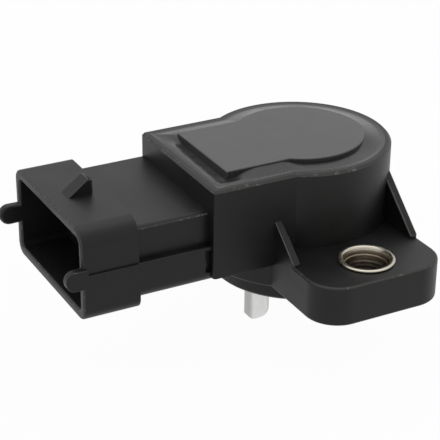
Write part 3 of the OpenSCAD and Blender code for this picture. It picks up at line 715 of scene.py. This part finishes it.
def mark_wear_and_sheen(mesh):
    """Writes the shares of scuffs, painted sheen and painted glints for the material, and puts all faces in
    the first material slot.
    """
    for name, shares in (("wear_and_sheen", wear_and_sheen_shares(mesh)), ("edge_glint", glint_shares(mesh))):
        mesh.attributes.new(name, "FLOAT", "CORNER").data.foreach_set("value", shares)
    for face in mesh.polygons:
        face.material_index = 0


HOUSING_ROUND = 0.36 * MM
COVER_ROUND = 0.16 * MM
LEVER_ROUND = 0.25 * MM

housing_shell = softened("housing", "housing_shell", HOUSING, HOUSING_ROUND)
stand_for(housing_shell, "housing", "body")
cover_lid = softened("cover", "cover_lid", COVER, COVER_ROUND)
stand_for(cover_lid, "cover", "body")
lever = softened("drive_lever", "lever", BRIGHT, LEVER_ROUND)
stand_for(lever, "drive_lever", "rotor")


# The poured compound, between the rim and the cover's raised plate. All its sizes are in millimetres, and
# each FULL is the distance from the rim where a change of height is complete.
BODY_R = 15.4
BODY_HALF_W = 13.15
BODY_LEN = 22.6
RIM_W = 1.5
PLATE_INSET = 4.5
TROUGH_FLOOR = 18.0
RIM_TOP = 19.6
SHELF_LEVEL = 19.5
SHELF_FULL = 0.45
END_POINTS = 60
SIDE_POINTS = 36
ROUND_POINTS = 180
# The skin that covers the rim's inner edge
SKIN = 0.45
SKIN_RISE = 0.012
# The climb up to the plate, which is higher on the far side, towards +X and +Y, than on the near one
FAR_WAY = (0.75, 0.66)
FAR_TURN = (-0.3, 0.7)
FAR_CLIMB = 0.81
NEAR_CLIMB = 0.58
NEAR_DIP = 0.38
# Where the near side dips: by the block's corner, counted towards -X and -Y, and in front, towards +X
CORNER_DIP_X = (12.5, 17.0)
CORNER_DIP_Y = (0.0, 6.0)
FRONT_DIP_X = (-8.5, -5.0)
FRONT_DIP_TURN = (0.42, 0.85)
CLIMB_POWER = 1.05
# The slow waves in its surface
WAVES_PER_MM = 0.3
WAVE_LAYER = 3.0
WAVE_RISE = 0.02
WAVE_FULL = 0.8
# The pool beside the plate's straight end, with POOL_X counted towards -X and POOL_FAR_Y towards -Y
POOL_X = (15.0, 18.2)
POOL_NEAR_Y = (-11.9, -9.6)
POOL_FAR_Y = (-10.8, -4.8)
POOL_START = 0.55
POOL_SLANT = 0.3
POOL_WANDER = 0.25
POOL_SLOPE = (0.35, 1.7)
POOL_DROP = 0.4
BULGE_RISE = 0.07
BULGE_FULL = 0.2
COMPOUND_STEPS = 18


def line(a, b, count):
    """Points at even steps from a up to b, but without b."""
    return [(a[0] + (b[0] - a[0]) * i / count, a[1] + (b[1] - a[1]) * i / count) for i in range(count)]


def keyhole_ring(inset):
    """Points round the body's keyhole outline, drawn in by inset, the same number for every inset."""
    r, half_w, length = BODY_R - inset, BODY_HALF_W - inset, BODY_LEN - inset
    waist = math.atan2(half_w, -math.sqrt(r * r - half_w * half_w))
    far = (r * math.cos(waist), half_w)
    near = (far[0], -half_w)
    turns = [waist * (1 - 2 * i / ROUND_POINTS) for i in range(ROUND_POINTS)]
    points = line((-length, -half_w), (-length, half_w), END_POINTS)
    points += line((-length, half_w), far, SIDE_POINTS)
    points += [(r * math.cos(turn), r * math.sin(turn)) for turn in turns]
    points += line(near, (-length, -half_w), SIDE_POINTS)
    return points


def smooth(low, high, value):
    """Runs from 0 at low to 1 at high, and is level at both."""
    t = min(1.0, max(0.0, (value - low) / (high - low)))
    return t * t * (3 - 2 * t)


def near_climb(x, y, out):
    """The near side's climb, which is less by the block's corner and in front of the round part."""
    by_corner = smooth(*CORNER_DIP_X, -x) * smooth(*CORNER_DIP_Y, -y)
    in_front = smooth(*FRONT_DIP_X, x) * smooth(*FRONT_DIP_TURN, -y / out)
    return NEAR_CLIMB - NEAR_DIP * max(by_corner, in_front)


def climbing_height(x, y, from_rim, wave):
    """The surface away from the pool: it falls from the skin to a shelf, and then climbs to the plate."""
    out = max(1.0, math.hypot(x, y))
    far = smooth(*FAR_TURN, (FAR_WAY[0] * x + FAR_WAY[1] * y) / out)
    across = max(0.0, from_rim / (PLATE_INSET - RIM_W))
    skin = RIM_TOP + SKIN_RISE
    height = skin - (skin - SHELF_LEVEL) * smooth(-SKIN, SHELF_FULL, from_rim)
    height += (far * FAR_CLIMB + (1 - far) * near_climb(x, y, out)) * across ** CLIMB_POWER
    return height + WAVE_RISE * wave * smooth(0.0, WAVE_FULL, from_rim)


def pool_height(y, from_rim, wave):
    """The surface in the pool: a bulge beside the skin, and a drop that starts nearer to it towards -Y."""
    start = POOL_START + POOL_SLANT * y / BODY_HALF_W + POOL_WANDER * wave
    height = RIM_TOP + SKIN_RISE + BULGE_RISE * smooth(-SKIN, BULGE_FULL, from_rim)
    return height - POOL_DROP * smooth(start - POOL_SLOPE[0], start + POOL_SLOPE[1], from_rim)


def compound_height(x, y, from_rim):
    """The poured surface's height, where the pool's and the climb's heights run into each other."""
    wave = noise.noise(Vector((x * WAVES_PER_MM, y * WAVES_PER_MM, WAVE_LAYER)))
    in_pool = smooth(*POOL_X, -x) * smooth(*POOL_NEAR_Y, y) * smooth(*POOL_FAR_Y, -y)
    climbing = climbing_height(x, y, from_rim, wave)
    return climbing + (pool_height(y, from_rim, wave) - climbing) * in_pool


def make_compound():
    """The wavy surface from the skin's edge to the plate, and the plain walls and floor of the trough."""
    width = PLATE_INSET - RIM_W + SKIN
    bm = bmesh.new()
    loops = []
    for i in range(COMPOUND_STEPS + 1):
        from_rim = width * i / COMPOUND_STEPS - SKIN
        ring = keyhole_ring(RIM_W + from_rim)
        loops.append([bm.verts.new(Vector((x, y, compound_height(x, y, from_rim))) * MM) for x, y in ring])
    for inset, level in ((PLATE_INSET, TROUGH_FLOOR), (RIM_W, TROUGH_FLOOR), (RIM_W, RIM_TOP - SKIN)):
        loops.append([bm.verts.new(Vector((x, y, level)) * MM) for x, y in keyhole_ring(inset)])
    for a, b in zip(loops, loops[1:] + loops[:1]):
        bridge(bm, a, b)
    return closed_object("poured_compound", bm, (COMPOUND,), split_degrees=50)


stand_for(make_compound(), "sealing_compound", "body")


# The turned sleeves. All their sizes are in millimetres, and heights are above the mounting face.
HOLE_OFFSET = 22.0
EAR_H = 6.7
SLEEVE_R = 4.1
SLEEVE_SIDES = 112
END_CHAMFER = 0.15
BORE_R = 3.2
LIP_R = 4.6
LIP_ROLL = 0.25
LIP_STEPS = 8
FLARE = ((4.1, 0.49), (3.92, 0.42), (3.82, 0.28), (3.76, 0.1), (3.72, -0.1))
STEP = ((3.62, -0.3), (3.58, -0.75), (3.46, -0.83), (3.42, -0.95))
RINGS_FROM = 1.1
RINGS_DOWN_TO = 2.4
RING_PITCH = 0.74
RING = ((3.39, 0.0), (3.42, 0.16), (3.42, 0.36), (3.39, 0.52))
PLAIN_BORE_TOP = 2.2


def lathe(name, profile, materials, split, middle):
    """Turns a closed outline of (radius, height) pairs. From row split on it has the second material."""
    bm = bmesh.new()
    rings = []
    x, y = middle
    turns = turns_round(SLEEVE_SIDES)
    for radius, height in profile:
        places = [(x + radius * math.cos(t), y + radius * math.sin(t), height) for t in turns]
        rings.append([bm.verts.new(Vector(place) * MM) for place in places])
    for row, (a, b) in enumerate(zip(rings, rings[1:] + rings[:1])):
        for face in bridge(bm, a, b):
            face.material_index = int(row >= split)
    return closed_object(name, bm, materials, split_degrees=40)


def sleeve_profile():
    """Up the outside, over the rolled lip, down the flared mouth and past the turned rings in the bore."""
    outline = [(BORE_R + END_CHAMFER, 0.0), (SLEEVE_R - END_CHAMFER, 0.0)]
    outline += [(SLEEVE_R, END_CHAMFER), (SLEEVE_R, EAR_H)]
    for i in range(LIP_STEPS + 1):
        turn = math.pi * (i / LIP_STEPS - 0.5)
        radius = LIP_R - LIP_ROLL + LIP_ROLL * math.cos(turn)
        outline.append((radius, EAR_H + LIP_ROLL + LIP_ROLL * math.sin(turn)))
    outline += [(radius, EAR_H + rise) for radius, rise in FLARE]
    split = len(outline) - 1
    outline += [(radius, EAR_H + rise) for radius, rise in STEP]
    height = EAR_H - RINGS_FROM
    while height > RINGS_DOWN_TO:
        outline += [(radius, height - drop) for radius, drop in RING]
        height -= RING_PITCH
    outline += [(BORE_R, PLAIN_BORE_TOP), (BORE_R, END_CHAMFER)]
    return outline, split


for node, side in (("front_sleeve", -1), ("rear_sleeve", 1)):
    outline, split = sleeve_profile()
    made = lathe(node + "_turned", outline, (NICKEL, BORE), split, (0.0, side * HOLE_OFFSET))
    stand_for(made, node, "body")


# The return spring, a round wire that twists when the rotor turns. Its sizes are in millimetres.
WIRE_R = 0.5
WIRE_SIDES = 12
COIL_R = 7.9
COIL_TOP = 4.95
COIL_BOTTOM = 2.45
COIL_TURNS = 2
COIL_STEPS = 150
FIXED_LEG_DEG = 158.2
FIXED_LEG_RADII = (10.5, 9.8, 9.1, 8.5)
MOVING_LEG_DEG = 201.95
MOVING_LEG_HEIGHTS = (2.1, 1.5, 0.8, 0.2)


def spring_path():
    """The fixed leg from the stop lug, the coil from top to bottom, and the moving leg by the lever."""
    first = math.radians(FIXED_LEG_DEG)
    last = math.radians(MOVING_LEG_DEG)
    sweep = math.radians(360 * COIL_TURNS + MOVING_LEG_DEG - FIXED_LEG_DEG)
    points = [Vector((r * math.cos(first), r * math.sin(first), COIL_TOP)) for r in FIXED_LEG_RADII]
    for i in range(COIL_STEPS + 1):
        turn = first + sweep * i / COIL_STEPS
        height = COIL_TOP + (COIL_BOTTOM - COIL_TOP) * i / COIL_STEPS
        points.append(Vector((COIL_R * math.cos(turn), COIL_R * math.sin(turn), height)))
    for height in MOVING_LEG_HEIGHTS:
        points.append(Vector((COIL_R * math.cos(last), COIL_R * math.sin(last), height)))
    return points


def make_wire(name, points, radius, material):
    """A round wire along the points, with closed ends."""
    bm = bmesh.new()
    rings = []
    turns = turns_round(WIRE_SIDES)
    side = Vector((0, 0, 1))
    for i, point in enumerate(points):
        ahead = (points[min(i + 1, len(points) - 1)] - points[max(i - 1, 0)]).normalized()
        side = (side - ahead * side.dot(ahead)).normalized()
        other = ahead.cross(side)
        rings.append([
            bm.verts.new((point + (side * math.cos(t) + other * math.sin(t)) * radius) * MM) for t in turns
        ])
    for a, b in zip(rings, rings[1:]):
        bridge(bm, a, b)
    bm.faces.new(rings[0])
    bm.faces.new(rings[-1])
    return closed_object(name, bm, (material,), split_degrees=60)


def place_spring():
    spring = make_wire("spring_coil", spring_path(), WIRE_R, WIRE)
    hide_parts("return_spring")
    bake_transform(spring, "body", "rotor", start=(0, 0, COIL_TOP * MM), end=(0, 0, COIL_BOTTOM * MM))


place_spring()


# Floor, world and lamp
WHITE_SHARE = 0.965
FLOOR_Z = -12.8 * MM
FLOOR_SIZE = 3.0
ROOM_LIGHT = 0.55
LAMP_AIM = Vector((0, 0, 5)) * MM


def make_floor():
    """A white floor that the camera, metal and gloss see as white, and that keeps the object's shadow."""
    bpy.ops.mesh.primitive_plane_add(size=FLOOR_SIZE, location=(0.0, 0.0, FLOOR_Z))
    floor = bpy.context.object
    floor.name = "studio_floor"
    m = Nodes("studio_white")
    m.set(Base_Color=(0.86, 0.86, 0.86), Roughness=0.9, Specular_IOR_Level=0.1)
    glow = m.node("ShaderNodeEmission")
    glow.inputs["Color"].default_value = (1, 1, 1, 1)
    path = m.node("ShaderNodeLightPath")
    mirrored = m.math("MAXIMUM", path.outputs["Is Glossy Ray"], path.outputs["Is Transmission Ray"])
    seen = m.math("MAXIMUM", path.outputs["Is Camera Ray"], mirrored)
    mix = m.node("ShaderNodeMixShader")
    m.link(m.math("MULTIPLY", seen, WHITE_SHARE), mix.inputs["Fac"])
    m.link(m.shader.outputs["BSDF"], mix.inputs[1])
    m.link(glow.outputs["Emission"], mix.inputs[2])
    m.link(mix.outputs["Shader"], m.tree.nodes["Material Output"].inputs["Surface"])
    floor.data.materials.append(m.material)


def make_world(light):
    """A white room: strength 1 where it is seen or mirrored, and a plain even light otherwise."""
    world = bpy.data.worlds.new("studio")
    bpy.context.scene.world = world
    world.use_nodes = True
    tree = world.node_tree
    background = tree.nodes["Background"]
    background.inputs["Color"].default_value = (1, 1, 1, 1)
    path = tree.nodes.new("ShaderNodeLightPath")
    total = path.outputs["Is Camera Ray"]
    for name in ("Is Glossy Ray", "Is Transmission Ray"):
        either = tree.nodes.new("ShaderNodeMath")
        either.operation = "MAXIMUM"
        tree.links.new(total, either.inputs[0])
        tree.links.new(path.outputs[name], either.inputs[1])
        total = either.outputs[0]
    level = tree.nodes.new("ShaderNodeMapRange")
    level.inputs["To Min"].default_value = light
    level.inputs["To Max"].default_value = 1.0
    tree.links.new(total, level.inputs["Value"])
    tree.links.new(level.outputs["Result"], background.inputs["Strength"])


def area_lamp(name, place_mm, size_mm, watts):
    data = bpy.data.lights.new(name, "AREA")
    data.shape = "RECTANGLE"
    data.size = size_mm[0] * MM
    data.size_y = size_mm[1] * MM
    data.energy = watts
    lamp = bpy.data.objects.new(name, data)
    bpy.context.scene.collection.objects.link(lamp)
    lamp.location = Vector(place_mm) * MM
    aim = LAMP_AIM - lamp.location
    lamp.rotation_euler = aim.to_track_quat("-Z", "Y").to_euler()


make_floor()
make_world(ROOM_LIGHT)
area_lamp("overhead", place_mm=(40, 60, 420), size_mm=(420, 420), watts=0.6)
